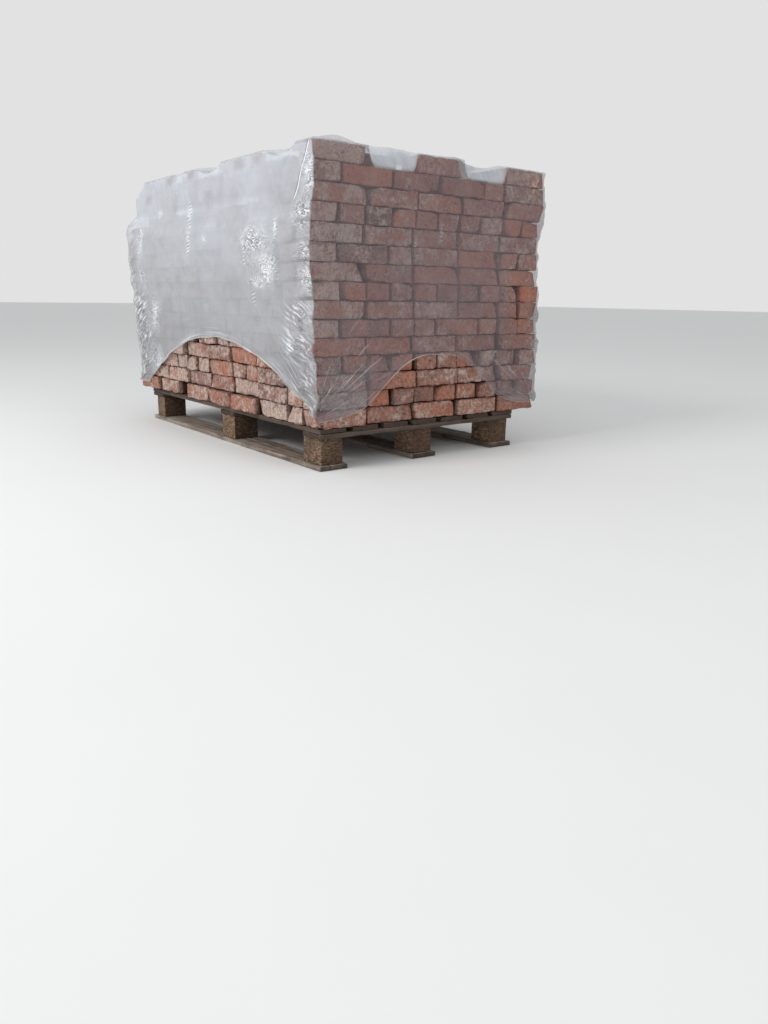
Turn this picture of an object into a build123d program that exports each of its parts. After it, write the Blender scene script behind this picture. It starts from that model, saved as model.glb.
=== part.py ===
from build123d import *
import math
import os

# A pallet of reclaimed bricks under stretch film, in millimetres.
# Origin: middle of the pallet on the floor. X runs along the pallet's long side, +Z is up.
# The stack is set out from its near corner, at +X and -Y, where it is almost flush with the pallet.

# Pallet
pallet_length = 1270
pallet_width = 800
skid_width = 100
skid_thickness = 16
block_length = 96
block_width = 90
block_height = 80
block_corner_cut = 14
block_inset = 6
centre_column_shift = 35
stringer_width = 98
stringer_thickness = 15
deck_board_width = 95
deck_board_thickness = 15
deck_board_count = 7

# Bricks
brick_length = 176
brick_width = 86
brick_height = 52
side_gap = 2.8
course_count = 15
units_long = 15
units_short = 10
end_overhang = 0
front_overhang = 15
jog_reach = 8
turn_reach = 0.25

# Film
film_wall = 1
film_clearance = 0.3
film_corner_radius = 9
film_foot = 24
film_puff_front = 32
film_puff_back = 12
film_puff_near_run = 60
film_puff_side_run = 200
long_arch_rise = 210
long_arch_foot_near = 10
long_arch_foot_far = 100
short_arch_rise = 180
short_arch_foot = 60

# Bond of the near short face, course by course from the bottom.
# S is a stretcher, two units long, H is a header, one unit, and a dot is an empty unit.
short_face_bond = (
    "SSSSS",
    "SHHHHHHHH",
    "SSSSS",
    "HHHHHHHHHH",
    "SSSSS",
    "HSHHSHHH",
    "SSSSHH",
    "HHHHHHHHHH",
    "SSSSS",
    "HSHSSHH",
    "SSSSS",
    "HHHHHHHHHH",
    "SSSSS",
    "HSSSHS",
)

# Bond of the front long face between the corner bricks, where it differs from its course
front_face_bond = {1: "HSSSS.HH", 3: "HSHHSHHHS"}

# Bond of the far short face where it differs: one corner brick has nothing under it and is left out,
# and the last two courses have lost theirs at the front corner
far_face_bond = {1: "HHHHHHHHH.", 13: ".HHHHHHHHH", 14: "..SSSS"}

# Bricks of the last, loose course, laid across the stack. Each word is one row, front to back.
top_rows = (
    "X.X.X",
    ".X..X",
    ".....",
    "X.XX.",
    "XX..X",
    "X.X.X",
    ".XX..",
    "....X",
    "XX.X.",
    "..X.X",
    "X...X",
    "XX.X.",
    "X.XX.",
    ".....",
    ".....",
)

# How far each course stands back from the front face, from the bottom; below zero it stands out
course_sway = (5, 10, 10, 5, 0, -2, -3, -4, -9, -13, -14, -6, 4, 0, 0)

# Heights and places that follow
block_level = skid_thickness
stringer_level = block_level + block_height
deck_level = stringer_level + stringer_thickness
brick_level = deck_level + deck_board_thickness
unit = max(brick_width, brick_length / 2) + side_gap
stack_length = units_long * unit
stack_width = units_short * unit
stack_near_x = pallet_length / 2 + end_overhang
stack_front_y = -pallet_width / 2 - front_overhang


def course_level(course):
    return brick_level + (course - 1) * brick_height


def sway(course):
    return course_sway[(course - 1) % len(course_sway)]


def wander(seed, reach):
    """A fixed scatter between -reach and reach, so that no two bricks lie quite alike."""
    return reach * math.sin(seed * 12.9898 + 4.1414 * math.sin(seed * 2.717))


def side_cells(bond, first, last):
    """Bricks along one side from unit first to unit last, as (start, units along, start depth, units deep)."""
    depth = 2 if "H" in bond else 1
    cells = []
    at = first
    for letter in bond + "H" * (last - first):
        width = 2 if letter == "S" else 1
        if at + width > last:
            break
        if letter == "S":
            for layer in range(depth):
                cells.append((at, 2, layer, 1))
        elif letter == "H":
            cells.append((at, 1, 0, 2))
        at += width
    return cells, depth


def stretchers(units):
    return "S" * (units // 2) + "H" * (units % 2)


def long_bond(course, units):
    """Even courses show stretchers on the long sides, odd courses show headers there."""
    return "H" * units if course % 2 else stretchers(units)


def far_bond(course):
    """The far short side is the other way about, so that its bricks reach in over the course below."""
    regular = "H" * units_short if course % 2 else stretchers(units_short)
    return far_face_bond.get(course, regular)


def course_cells(course):
    """Cells of the bricks round the outside of a course, as (s, t, length, width, outward s, outward t)."""
    near, near_depth = side_cells(short_face_bond[course - 1], 0, units_short)
    far, far_depth = side_cells(far_bond(course), 0, units_short)
    last = units_long - far_depth
    regular = long_bond(course, last - near_depth)
    front, front_depth = side_cells(front_face_bond.get(course, regular), near_depth, last)
    back, back_depth = side_cells(regular, near_depth, last)
    cells = [(d, u, deep, wide, -int(d == 0), 0) for u, wide, d, deep in near]
    cells += [(units_long - d - deep, u, deep, wide, int(d == 0), 0) for u, wide, d, deep in far]
    cells += [(u, d, wide, deep, 0, -int(d == 0)) for u, wide, d, deep in front]
    cells += [(u, units_short - d - deep, wide, deep, 0, int(d == 0)) for u, wide, d, deep in back]
    inside = (near_depth, last, front_depth, units_short - back_depth)
    return cells, inside


def inner_cells(first_s, last_s, first_t, last_t):
    """Bricks that fill the middle of a course, laid along the stack, with a row across it at an odd end."""
    rows = range(first_t, last_t)
    cells = [(s, t, 2, 1, 0, 0) for s in range(first_s, last_s - 1, 2) for t in rows]
    if (last_s - first_s) % 2:
        cells += [(last_s - 1, t, 1, 2, 0, 0) for t in range(first_t, last_t - 1, 2)]
    return cells


def loose_cells():
    """Bricks of the last course, each lying across the stack."""
    cells = []
    for row, word in enumerate(top_rows[:units_long]):
        for slot, mark in enumerate(word[: units_short // 2]):
            if mark == "X":
                cells.append((row, 2 * slot, 1, 2, 0, 0))
    return cells


def seat(start, cells, total, size):
    """How far a brick stands from the middle of its cells: those at a side of the stack are flush with it."""
    side = int(start + cells == total) - int(start == 0)
    return side * (cells * unit - size - side_gap) / 2


def brick_places(course):
    """Centre, size and turn of each modelled brick in a course."""
    if course == course_count:
        cells = loose_cells()
    else:
        cells, inside = course_cells(course)
        if course == course_count - 1:
            cells += inner_cells(*inside)
    places = []
    for number, (s, t, length, width, out_s, out_t) in enumerate(cells):
        seed = 97 * course + number
        jog = (wander(seed, jog_reach) + jog_reach) / 2
        size = (brick_length, brick_width) if length > width else (brick_width, brick_length)
        along = (s + length / 2) * unit + seat(s, length, units_long, size[0]) + out_s * jog
        across = (t + width / 2) * unit + seat(t, width, units_short, size[1]) + out_t * jog
        middle = (stack_near_x - along, stack_front_y + across + sway(course))
        places.append((middle, size, wander(seed + 0.5, turn_reach)))
    return places


def column_x(end, length, inset):
    """Middle of a block or stringer; the centre ones stand a little towards the near end."""
    return end * (pallet_length / 2 - inset - length / 2) if end else centre_column_shift


def save(part, name):
    part.label = name
    export_step(part, f"parts/{name}.step")


os.makedirs("parts", exist_ok=True)

# Skids: three boards on the floor, along the pallet
row_places = {"front": -1, "middle": 0, "back": 1}
skid_reach = (pallet_width - skid_width) / 2
for row, side in row_places.items():
    with BuildPart() as skid:
        with BuildSketch(Plane.XY):
            with Locations((0, side * skid_reach)):
                Rectangle(pallet_length, skid_width)
        extrude(amount=skid_thickness)
    save(skid.part, f"skid_{row}")

# Blocks: nine, the outer ones with their corners cut off upright
column_places = {"left": -1, "centre": 0, "right": 1}
for row, side in row_places.items():
    for column, end in column_places.items():
        with BuildPart() as block:
            with BuildSketch(Plane.XY.offset(block_level)) as block_plan:
                with Locations((column_x(end, block_length, block_inset), side * skid_reach)):
                    Rectangle(block_length, block_width)
                if end:
                    outer_edge = block_plan.vertices().sort_by(Axis.X, reverse=end > 0)[:2]
                    chamfer(outer_edge, block_corner_cut)
            extrude(amount=block_height)
        save(block.part, f"block_{row}_{column}")

# Stringers: three boards across the blocks
for column, end in column_places.items():
    with BuildPart() as stringer:
        with BuildSketch(Plane.XY.offset(stringer_level)):
            with Locations((column_x(end, stringer_width, 0), 0)):
                Rectangle(stringer_width, pallet_width)
        extrude(amount=stringer_thickness)
    save(stringer.part, f"stringer_{column}")

# Deck boards: along the pallet, with even gaps
deck_pitch = (pallet_width - deck_board_width) / (deck_board_count - 1)
for number in range(deck_board_count):
    with BuildPart() as board:
        with BuildSketch(Plane.XY.offset(deck_level)):
            with Locations((0, (deck_board_width - pallet_width) / 2 + number * deck_pitch)):
                Rectangle(pallet_length, deck_board_width)
        extrude(amount=deck_board_thickness)
    save(board.part, f"deck_board_{number + 1}")

# Brick courses: each brick is its own solid, with a gap to its neighbours
for course in range(1, course_count + 1):
    with BuildPart() as bricks:
        with BuildSketch(Plane.XY.offset(course_level(course))):
            for middle, size, turn in brick_places(course):
                with Locations(middle):
                    Rectangle(*size, rotation=turn)
        extrude(amount=brick_height)
    save(bricks.part, f"brick_course_{course:02d}")

# Core: the bricks that the outer ones hide, as one stepped block
with BuildPart() as core:
    for course in range(1, course_count - 1):
        first_s, last_s, first_t, last_t = course_cells(course)[1]
        middle_x = stack_near_x - (first_s + last_s) / 2 * unit
        middle_y = stack_front_y + (first_t + last_t) / 2 * unit + sway(course)
        with BuildSketch(Plane.XY.offset(course_level(course))):
            with Locations((middle_x, middle_y)):
                Rectangle((last_s - first_s) * unit - 2 * side_gap, (last_t - first_t) * unit - 2 * side_gap)
        extrude(amount=brick_height)
save(core.part, "brick_core")

# Film: a thin cover over the whole stack, open below and arched up between its corners
film_room = jog_reach + film_clearance
film_inside_x = (stack_near_x - stack_length - film_room, stack_near_x + film_room)
film_inside_y = (
    stack_front_y + min(course_sway) - film_room,
    stack_front_y + stack_width + max(course_sway) + film_room,
)
film_centre = (sum(film_inside_x) / 2, sum(film_inside_y) / 2)
film_inner_size = (film_inside_x[1] - film_inside_x[0], film_inside_y[1] - film_inside_y[0])
film_bottom = brick_level + film_foot


def film_level(course):
    """Height of the film where it lies on a course."""
    return course_level(course) + brick_height + film_clearance


def plane_through(first, second, third):
    """The plane on three points, facing up."""
    normal = (Vector(second) - Vector(first)).cross(Vector(third) - Vector(first))
    return Plane(first, z_dir=normal if normal.Z > 0 else -normal)


# Past the last loose bricks the film slopes down to the far side, and further at the front corner
loose_rows = max(row for row, word in enumerate(top_rows, start=1) if "X" in word)
loose_end_x = stack_near_x - loose_rows * unit
far_x, near_x = film_inside_x
front_y, back_y = film_inside_y
full_level = film_level(course_count - 1)
end_slope = plane_through(
    (loose_end_x, front_y, film_level(course_count)),
    (loose_end_x, back_y, film_level(course_count)),
    (far_x, back_y, full_level),
)
corner_slope = plane_through(
    (stack_near_x - (units_long - 1) * unit, front_y, full_level),
    (far_x, stack_front_y + 2 * unit, full_level),
    (far_x, front_y, film_level(course_count - 3)),
)

# Over the loose course the film stands puffed up, highest behind the near side toward the front
loose_level = film_level(course_count)
puff_slope = plane_through(
    (near_x, front_y, loose_level + film_puff_front),
    (near_x, back_y, loose_level + film_puff_back),
    (loose_end_x, back_y, loose_level),
)
puff_near_slope = plane_through(
    (near_x, front_y, loose_level),
    (near_x, back_y, loose_level),
    (near_x - film_puff_near_run, front_y, loose_level + film_puff_front),
)
puff_front_slope = plane_through(
    (near_x, front_y, loose_level),
    (far_x, front_y, loose_level),
    (near_x, front_y + film_puff_side_run, loose_level + film_puff_front),
)
puff_back_slope = plane_through(
    (near_x, back_y, loose_level),
    (far_x, back_y, loose_level),
    (near_x, back_y - film_puff_side_run, loose_level + film_puff_front),
)
film_slopes = (end_slope, corner_slope, puff_slope, puff_near_slope, puff_front_slope, puff_back_slope)


def film_body(grow):
    """The room under the film, or with the wall added, its outside."""
    with BuildPart() as body:
        with BuildSketch(Plane.XY.offset(film_bottom)):
            with Locations(film_centre):
                sides = [side + 2 * grow for side in film_inner_size]
                RectangleRounded(*sides, film_corner_radius + grow)
        extrude(amount=loose_level + film_puff_front + grow - film_bottom)
        for slope in film_slopes:
            split(bisect_by=slope.offset(grow), keep=Keep.BOTTOM)
    return body.part


with BuildPart() as film:
    add(film_body(film_wall))
    add(film_body(0), mode=Mode.SUBTRACT)

    # The long sides rise in one flat curve, lowest at the far corner
    long_near = film_inside_x[1] - long_arch_foot_near
    long_far = film_inside_x[0] + long_arch_foot_far
    long_top = film_bottom + 2 * long_arch_rise
    with BuildSketch(Plane.XZ):
        with BuildLine():
            Bezier((long_near, film_bottom), ((long_near + long_far) / 2, long_top), (long_far, film_bottom))
            Line((long_far, film_bottom), (long_near, film_bottom))
        make_face()
    extrude(amount=stack_length, both=True, mode=Mode.SUBTRACT)

    # The short sides rise in a bell with flat feet
    bell_near = film_inside_y[0] + short_arch_foot
    bell_far = film_inside_y[1] - short_arch_foot
    bell_middle = (bell_near + bell_far) / 2
    bell_top = film_bottom + short_arch_rise
    bell_pull = (bell_far - bell_near) / 4
    with BuildSketch(Plane.YZ):
        with BuildLine():
            Bezier(
                (bell_near, film_bottom),
                (bell_near + bell_pull, film_bottom),
                (bell_near + bell_pull, bell_top),
                (bell_middle, bell_top),
            )
            Bezier(
                (bell_middle, bell_top),
                (bell_far - bell_pull, bell_top),
                (bell_far - bell_pull, film_bottom),
                (bell_far, film_bottom),
            )
            Line((bell_far, film_bottom), (bell_near, film_bottom))
        make_face()
    extrude(amount=stack_length, both=True, mode=Mode.SUBTRACT)
save(film.part, "stretch_film")
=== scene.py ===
import math

import bpy
import numpy as np
from mathutils import Matrix, Vector


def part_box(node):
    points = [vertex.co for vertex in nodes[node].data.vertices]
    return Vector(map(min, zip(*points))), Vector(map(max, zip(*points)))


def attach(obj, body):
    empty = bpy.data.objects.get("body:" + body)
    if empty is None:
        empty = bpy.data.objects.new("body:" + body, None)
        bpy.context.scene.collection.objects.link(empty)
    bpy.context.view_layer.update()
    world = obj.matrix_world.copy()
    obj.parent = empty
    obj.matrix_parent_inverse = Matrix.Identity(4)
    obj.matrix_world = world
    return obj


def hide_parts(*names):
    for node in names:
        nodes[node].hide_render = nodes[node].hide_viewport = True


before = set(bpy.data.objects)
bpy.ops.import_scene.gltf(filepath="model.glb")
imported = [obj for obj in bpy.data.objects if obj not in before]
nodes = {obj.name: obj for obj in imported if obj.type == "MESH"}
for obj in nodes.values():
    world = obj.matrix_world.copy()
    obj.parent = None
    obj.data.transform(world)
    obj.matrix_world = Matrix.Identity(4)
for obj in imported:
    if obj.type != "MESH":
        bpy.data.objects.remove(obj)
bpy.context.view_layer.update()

# Camera, from the photograph: place, direction across the floor, tilt down, roll and focal length
camera_place = Vector((2.534, -1.626, 0.502))
camera_heading = Vector((-0.792, 0.611, 0.0))
camera_tilt = math.radians(15.4)
camera_roll = math.radians(0.8)
sensor_long_side = 36.0
focal_pixels = 781.0
frame_height_pixels = 1024.0

# Floor and light
floor_half = 40.0
soft_light = (0.97, 0.985, 1.0, 1.0)
soft_light_strength = 0.62
lamp_target = Vector((0, 0, 0.5))
lamp_size = 2.0

# Bricks: lattice steps, worn edges and corners, painted shade at the edges and in recesses, lime (heavier
# on the front, where it is also painted light), and faces worn back in the open arches
brick_steps = (14, 8, 5)
brick_edge_radius = (0.0022, 0.0068)
brick_unevenness = 0.0010
brick_chip_depth = (0.004, 0.020)
brick_chip_counts = (1, 5)
brick_shrink = 0.003
open_side_depth = 0.045
inner_shade_start = 0.004
inner_shade_run = 0.016
covered_inner_shade = 0.35
loose_inner_shade = 0.25
edge_shade_reach = 0.012
brick_tones = (0.50, 0.17)
burnt_chance = 0.08
lime_scatter = 0.7
lime_and_light_on_front = 0.55
lime_elsewhere = -0.15
bare_courses = 5
bare_set_back = (0.0, 0.0, 0.003, 0.006, 0.010, 0.015)

# Wood
board_pitch = 0.020
board_edge_radius = 0.0025
board_unevenness = 0.0005
block_corner_cut = 0.014
# Painted shade over all of the deck boards and stringers, which lie under the bricks
under_stack_shade_share = 0.80

# Film
film_pitch = 0.0082
film_clearance = 0.0008
film_end_drop = 0.052
hem_rows = (0.0, 0.0012, 0.0028, 0.0055, 0.010)
relax_steps = 300
relax_start = 0.01
wall_sink = 0.00010
corner_sink = 0.0004
corner_reach = 0.10
edge_sink = 0.00014
near_edge_sink = 0.020
bulge_height = 0.0042
bulge_reach = 0.09
puff_near = 0.034
puff_far = 0.012
puff_reach = 0.075
puff_sag = 0.45
puff_start = 0.003
puff_near_climb = 1.8
puff_side_climb = 0.16
fold_length = 0.20
hump_place = (0.10, 0.185)
hump_size = (0.16, 0.080)
brick_margin = 0.0065
edge_rows = 6
wall_reach = 0.10
wall_depth = 0.055
top_reach = 0.12
top_depth = 0.110
corner_blend = 0.06
open_gap = 0.012
# How far creases may stand out past the CAD film
film_spare = (0.006, 0.006, 0.0)
film_spare_up = (0.006, 0.006, 0.008)

# Looks of the film: fans of wrinkles, bands beside the corners, painted glints on the top, hem, painted
# shade lines where the joints show, and milkiness
fan_reach = 0.42
fan_angle = 0.75
fan_spread = 0.75
band_reach = 0.12
band_strength = 0.6
crease_height = 0.0020
top_crease = 0.16
top_painted_glints = 0.04
hem_reach = 0.05
hem_height = 0.0015
joint_middle = 0.56
joint_reach = 0.30
wall_veils = {"back": 0.51, "front": 0.72, "right": 0.34, "left": 0.38}
top_veil = 0.34
loose_clearness = 0.34
spot_clearness = 0.92
spot_haze = 0.10


def wavy(points, seed, wavelength, waves=7):
    """A smooth scatter about zero, of size about 1, from a few crossing sine waves."""
    rng = np.random.default_rng(seed)
    directions = rng.normal(size=(waves, points.shape[1]))
    directions /= np.linalg.norm(directions, axis=1, keepdims=True)
    lengths = wavelength * rng.uniform(0.6, 1.7, waves)
    phases = rng.uniform(0, 2 * math.pi, waves)
    total = np.zeros(len(points))
    for direction, length, phase in zip(directions, lengths, phases):
        total += np.sin(points @ direction * (2 * math.pi / length) + phase)
    return total / math.sqrt(waves / 2)


def columns(*values):
    """Places made of columns of numbers, where one number fills a whole column."""
    return np.stack(np.broadcast_arrays(*values), axis=1)


def near(distance, reach):
    """1 at no distance, falling smoothly to 0 at the reach."""
    share = np.clip(1 - distance / reach, 0, 1)
    return share * share * (3 - 2 * share)


def box_surface(steps, bottom=True):
    """The outer points of a box lattice, as whole-number places, and the quads that join them."""
    ids = {}
    quads = []

    def point(*place):
        return ids.setdefault(place, len(ids))

    def add_quad(*places):
        quads.append(tuple(point(*place) for place in places))

    nx, ny, nz = steps
    for i in range(nx):
        for j in range(ny):
            add_quad((i, j, nz), (i + 1, j, nz), (i + 1, j + 1, nz), (i, j + 1, nz))
            if bottom:
                add_quad((i, j, 0), (i, j + 1, 0), (i + 1, j + 1, 0), (i + 1, j, 0))
    for k in range(nz):
        for i in range(nx):
            add_quad((i, 0, k), (i + 1, 0, k), (i + 1, 0, k + 1), (i, 0, k + 1))
            add_quad((i, ny, k), (i, ny, k + 1), (i + 1, ny, k + 1), (i + 1, ny, k))
        for j in range(ny):
            add_quad((0, j, k), (0, j, k + 1), (0, j + 1, k + 1), (0, j + 1, k))
            add_quad((nx, j, k), (nx, j + 1, k), (nx, j + 1, k + 1), (nx, j, k + 1))
    return np.array(list(ids)), np.array(quads)


def put(name, data):
    """Adds an object with this data to the scene."""
    item = bpy.data.objects.new(name, data)
    bpy.context.scene.collection.objects.link(item)
    return item


def add_mesh(name, points, quads, material):
    mesh = bpy.data.meshes.new(name)
    mesh.from_pydata(points.tolist(), [], quads.tolist())
    mesh.materials.append(material)
    return put(name, mesh)


def make_piece(name, points, quads, material, attributes):
    """A smooth mesh that rides on the pallet, with its values for each point."""
    piece = add_mesh(name, points, quads, material)
    for label, values in attributes.items():
        kind, field = ("FLOAT", "value") if values.ndim == 1 else ("FLOAT_VECTOR", "vector")
        store = piece.data.attributes.new(label, kind, "POINT")
        store.data.foreach_set(field, values.astype(np.float32).ravel())
    piece.data.polygons.foreach_set("use_smooth", np.full(len(quads), True))
    piece.data.update()
    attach(piece, "root")
    return piece


# Material helpers

def tint(red, green, blue):
    """A display colour from 0 to 255, as the linear colour that a shader socket takes."""
    linear = []
    for value in (red, green, blue):
        share = value / 255
        linear.append(share / 12.92 if share <= 0.04045 else ((share + 0.055) / 1.055) ** 2.4)
    return (*linear, 1.0)


class Shading:
    """A material or a world, and short calls that add nodes to it."""

    def __init__(self, name, family="materials"):
        self.owner = getattr(bpy.data, family).new(name)
        self.owner.use_nodes = True
        self.tree = self.owner.node_tree
        self.tree.nodes.clear()

    def add(self, kind, inputs=None, **settings):
        node = self.tree.nodes.new("ShaderNode" + kind)
        for key, value in settings.items():
            setattr(node, key, value)
        for key, value in (inputs or {}).items():
            if isinstance(value, bpy.types.NodeSocket):
                self.tree.links.new(value, node.inputs[key])
            else:
                node.inputs[key].default_value = value
        return node

    def value(self, name):
        return self.add("Attribute", attribute_name=name).outputs["Fac"]

    def vector(self, name):
        return self.add("Attribute", attribute_name=name).outputs["Vector"]

    def place(self, scale=(1, 1, 1), source=None, shift=None):
        """Coordinates in metres, shifted for each piece and scaled."""
        start = source or self.add("TexCoord").outputs["Object"]
        if shift is not None:
            start = self.add("VectorMath", {0: start, 1: shift}, operation="ADD").outputs[0]
        return self.add("Mapping", {"Vector": start, "Scale": scale}).outputs[0]

    def noise(self, where, scale=1.0, detail=4.0, roughness=0.55, distortion=0.0):
        names = ("Vector", "Scale", "Detail", "Roughness", "Distortion")
        inputs = dict(zip(names, (where, scale, detail, roughness, distortion)))
        return self.add("TexNoise", inputs).outputs["Fac"]

    def window(self, value, low, high, to_low=0.0, to_high=1.0):
        """Maps low to high on to to_low to to_high, smoothly, and holds it outside."""
        names = ("Value", "From Min", "From Max", "To Min", "To Max")
        inputs = dict(zip(names, (value, low, high, to_low, to_high)))
        return self.add("MapRange", inputs, interpolation_type="SMOOTHSTEP").outputs[0]

    def math(self, operation, first, *others):
        """One operation, or a row of them where there are several values to join."""
        for other in others or (0.0,):
            first = self.add("Math", {0: first, 1: other}, operation=operation).outputs[0]
        return first

    def times(self, *values):
        return self.math("MULTIPLY", *values)

    def plus(self, *values):
        return self.math("ADD", *values)

    def minus(self, *values):
        return self.math("SUBTRACT", *values)

    def most(self, *values):
        return self.math("MAXIMUM", *values)

    def mix(self, share, first, second):
        inputs = {0: share, 6: first, 7: second}
        return self.add("Mix", inputs, data_type="RGBA", clamp_factor=True).outputs[2]

    def stain(self, colour, share, strength, other):
        """Mixes another colour in, by its share times a strength."""
        return self.mix(self.times(share, strength), colour, other)

    def ramp(self, value, *stops):
        """Colours for a value from 0 to 1, where each stop is a place and a display colour."""
        node = self.add("ValToRGB", {"Fac": value})
        elements = node.color_ramp.elements
        while len(elements) < len(stops):
            elements.new(0.5)
        for element, (position, *colour) in zip(elements, stops):
            element.position = position
            element.color = tint(*colour)
        return node.outputs["Color"]

    def bump(self, height, distance, strength=1.0, normal=None):
        inputs = {"Height": height, "Distance": distance, "Strength": strength}
        if normal is not None:
            inputs["Normal"] = normal
        return self.add("Bump", inputs).outputs["Normal"]

    def finish(self, colour, rough, others):
        inputs = {"Base Color": colour, "Roughness": rough, **others}
        shader = self.add("BsdfPrincipled", inputs)
        self.add("OutputMaterial", {"Surface": shader.outputs["BSDF"]})
        return self.owner


def brick_material():
    """Fired clay in salmon, orange, red and mauve, with old lime mortar (heavier on the front face, also
    as painted light there), pits, and painted shade at the edges and in recesses.
    """
    s = Shading("reclaimed_brick")
    where = s.place(shift=s.vector("brick_shift"))
    broad = s.noise(where, 14.0, 5.0, 0.6)
    grain = s.noise(where, 170.0, 4.0, 0.7)
    clay = s.ramp(
        s.plus(s.value("brick_tone"), s.times(s.minus(broad, 0.5), 0.9)),
        (0.00, 96, 78, 74),
        (0.18, 130, 98, 89),
        (0.42, 159, 110, 95),
        (0.62, 174, 120, 100),
        (0.82, 178, 111, 84),
        (1.00, 152, 88, 70),
    )
    burnt = s.window(s.plus(broad, s.value("brick_dark")), 0.90, 1.20)
    clay = s.stain(clay, burnt, 0.75, tint(92, 82, 82))
    speckle = s.window(grain, 0.38, 0.72)
    clay = s.stain(clay, speckle, 0.45, tint(190, 154, 140))
    patches = s.plus(s.noise(where, 20.0, 6.0, 0.65), s.noise(where, 75.0, 6.0, 0.7))
    patches = s.times(patches, 0.5)
    # Lime mortar patches, laid on more heavily on the front face, where they also stand in as painted
    # light on that lit side
    lime_and_light_mask = s.window(s.plus(patches, s.times(s.value("brick_lime_and_light"), 0.11)), 0.46, 0.60)
    lime_and_light_mask = s.times(lime_and_light_mask, s.window(grain, 0.32, 0.56, 0.40, 1.0))
    clay = s.stain(clay, lime_and_light_mask, 0.82, tint(213, 194, 183))
    # Painted shade: a darker, redder colour near each brick's edges, where the joints fall in shade
    edge = s.times(s.value("brick_edge_shade"), s.window(s.noise(where, 70.0, 5.0, 0.7), 0.44, 0.58))
    clay = s.stain(clay, edge, 0.85, tint(102, 56, 43))
    pits = s.window(s.noise(where, 120.0, 3.0, 0.5), 0.62, 0.69)
    clay = s.stain(clay, pits, 0.60, tint(84, 56, 48))
    # Painted shade: dark red-brown on the parts behind the brick's outer faces, in the recesses between
    # bricks
    clay = s.stain(clay, s.value("brick_inner_shade"), 0.94, tint(72, 38, 30))
    relief = s.plus(s.times(grain, 0.6), s.times(lime_and_light_mask, 0.5))
    relief = s.minus(relief, s.times(pits, 0.9))
    normal = s.bump(patches, 0.010, 0.7, s.bump(relief, 0.0024, 0.9))
    rough = s.window(grain, 0.3, 0.7, 0.82, 0.97)
    return s.finish(clay, rough, {"Normal": normal, "Specular IOR Level": 0.25})


def brick_dust(s, colour, where, share):
    """Brick dust and crumbs lying on upward faces."""
    dust = s.window(s.noise(where, 42.0, 7.0, 0.7), 0.52, 0.66)
    up = s.add("SeparateXYZ", {0: s.add("NewGeometry").outputs["Normal"]}).outputs["Z"]
    dust = s.times(dust, s.window(up, 0.2, 0.9, 0.10, share))
    return s.mix(dust, colour, tint(170, 140, 126))


def board_material():
    """Rough-sawn softwood gone grey-brown: grain along the board, saw marks, splits and brick dust."""
    s = Shading("board_timber")
    grain = s.vector("grain")
    where = s.place(source=grain)
    fine = s.noise(s.place((8.0, 320.0, 320.0), grain), 1.0, 5.0, 0.65)
    figure = s.noise(s.place((3.0, 60.0, 60.0), grain), 1.0, 6.0, 0.6, 0.6)
    figure = s.window(figure, 0.30, 0.70)
    colour = s.ramp(figure, (0.0, 106, 92, 81), (0.45, 147, 134, 123), (1.0, 176, 165, 153))
    colour = s.stain(colour, s.window(fine, 0.52, 0.70), 0.5, tint(70, 57, 48))
    soil = s.window(s.noise(where, 9.0, 5.0, 0.6), 0.45, 0.70)
    colour = s.stain(colour, soil, 0.6, tint(66, 56, 49))
    # Darker end grain on the board ends, also painted shade there
    colour = s.stain(colour, s.value("end_grain_and_shade"), 0.8, tint(52, 40, 34))
    # Painted shade: the deck boards and stringers under the bricks, darkened all over
    colour = s.mix(s.value("board_under_stack_shade"), colour, tint(66, 52, 44))
    colour = brick_dust(s, colour, where, 0.85)
    splits = s.window(s.noise(s.place((2.2, 75.0, 30.0), grain), 1.0, 2.0, 0.5), 0.68, 0.74)
    colour = s.stain(colour, splits, 0.8, tint(34, 27, 24))
    normal = s.bump(s.minus(fine, s.times(splits, 1.5)), 0.0018, 0.9)
    saw_marks = s.noise(s.place((90.0, 4.0, 4.0), grain), 1.0, 3.0)
    normal = s.bump(saw_marks, 0.0006, 0.5, normal)
    rough = s.window(fine, 0.3, 0.7, 0.74, 0.94)
    return s.finish(colour, rough, {"Normal": normal, "Specular IOR Level": 0.3})


def block_material():
    """Pressed wood chips: flat flakes lying all ways, crumbly edges and soil."""
    s = Shading("block_timber")
    grain = s.vector("grain")
    where = s.place(source=grain)
    flake_place = s.place((150.0, 110.0, 230.0), grain)
    flakes = s.add("TexVoronoi", {"Vector": flake_place, "Scale": 1.0})
    tone = s.add("SeparateColor", {0: flakes.outputs["Color"]}).outputs["Red"]
    colour = s.ramp(tone, (0, 98, 76, 60), (0.3, 118, 94, 75), (0.65, 133, 109, 88), (1, 158, 135, 111))
    gaps = s.window(flakes.outputs["Distance"], 0.55, 0.85)
    colour = s.stain(colour, gaps, 0.50, tint(66, 49, 38))
    soil = s.window(s.noise(where, 16.0, 6.0, 0.65), 0.46, 0.68)
    colour = s.stain(colour, soil, 0.6, tint(74, 58, 46))
    # Darker end grain on the block's end faces, also painted shade there
    colour = s.stain(colour, s.value("end_grain_and_shade"), 0.62, tint(66, 48, 38))
    colour = brick_dust(s, colour, where, 0.9)
    normal = s.bump(s.minus(tone, s.times(gaps, 1.2)), 0.0030, 0.8)
    normal = s.bump(s.noise(where, 40.0, 3.0, 0.5), 0.006, 0.6, normal)
    rough = s.window(tone, 0, 1, 0.80, 0.95)
    return s.finish(colour, rough, {"Normal": normal, "Specular IOR Level": 0.25})


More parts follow.
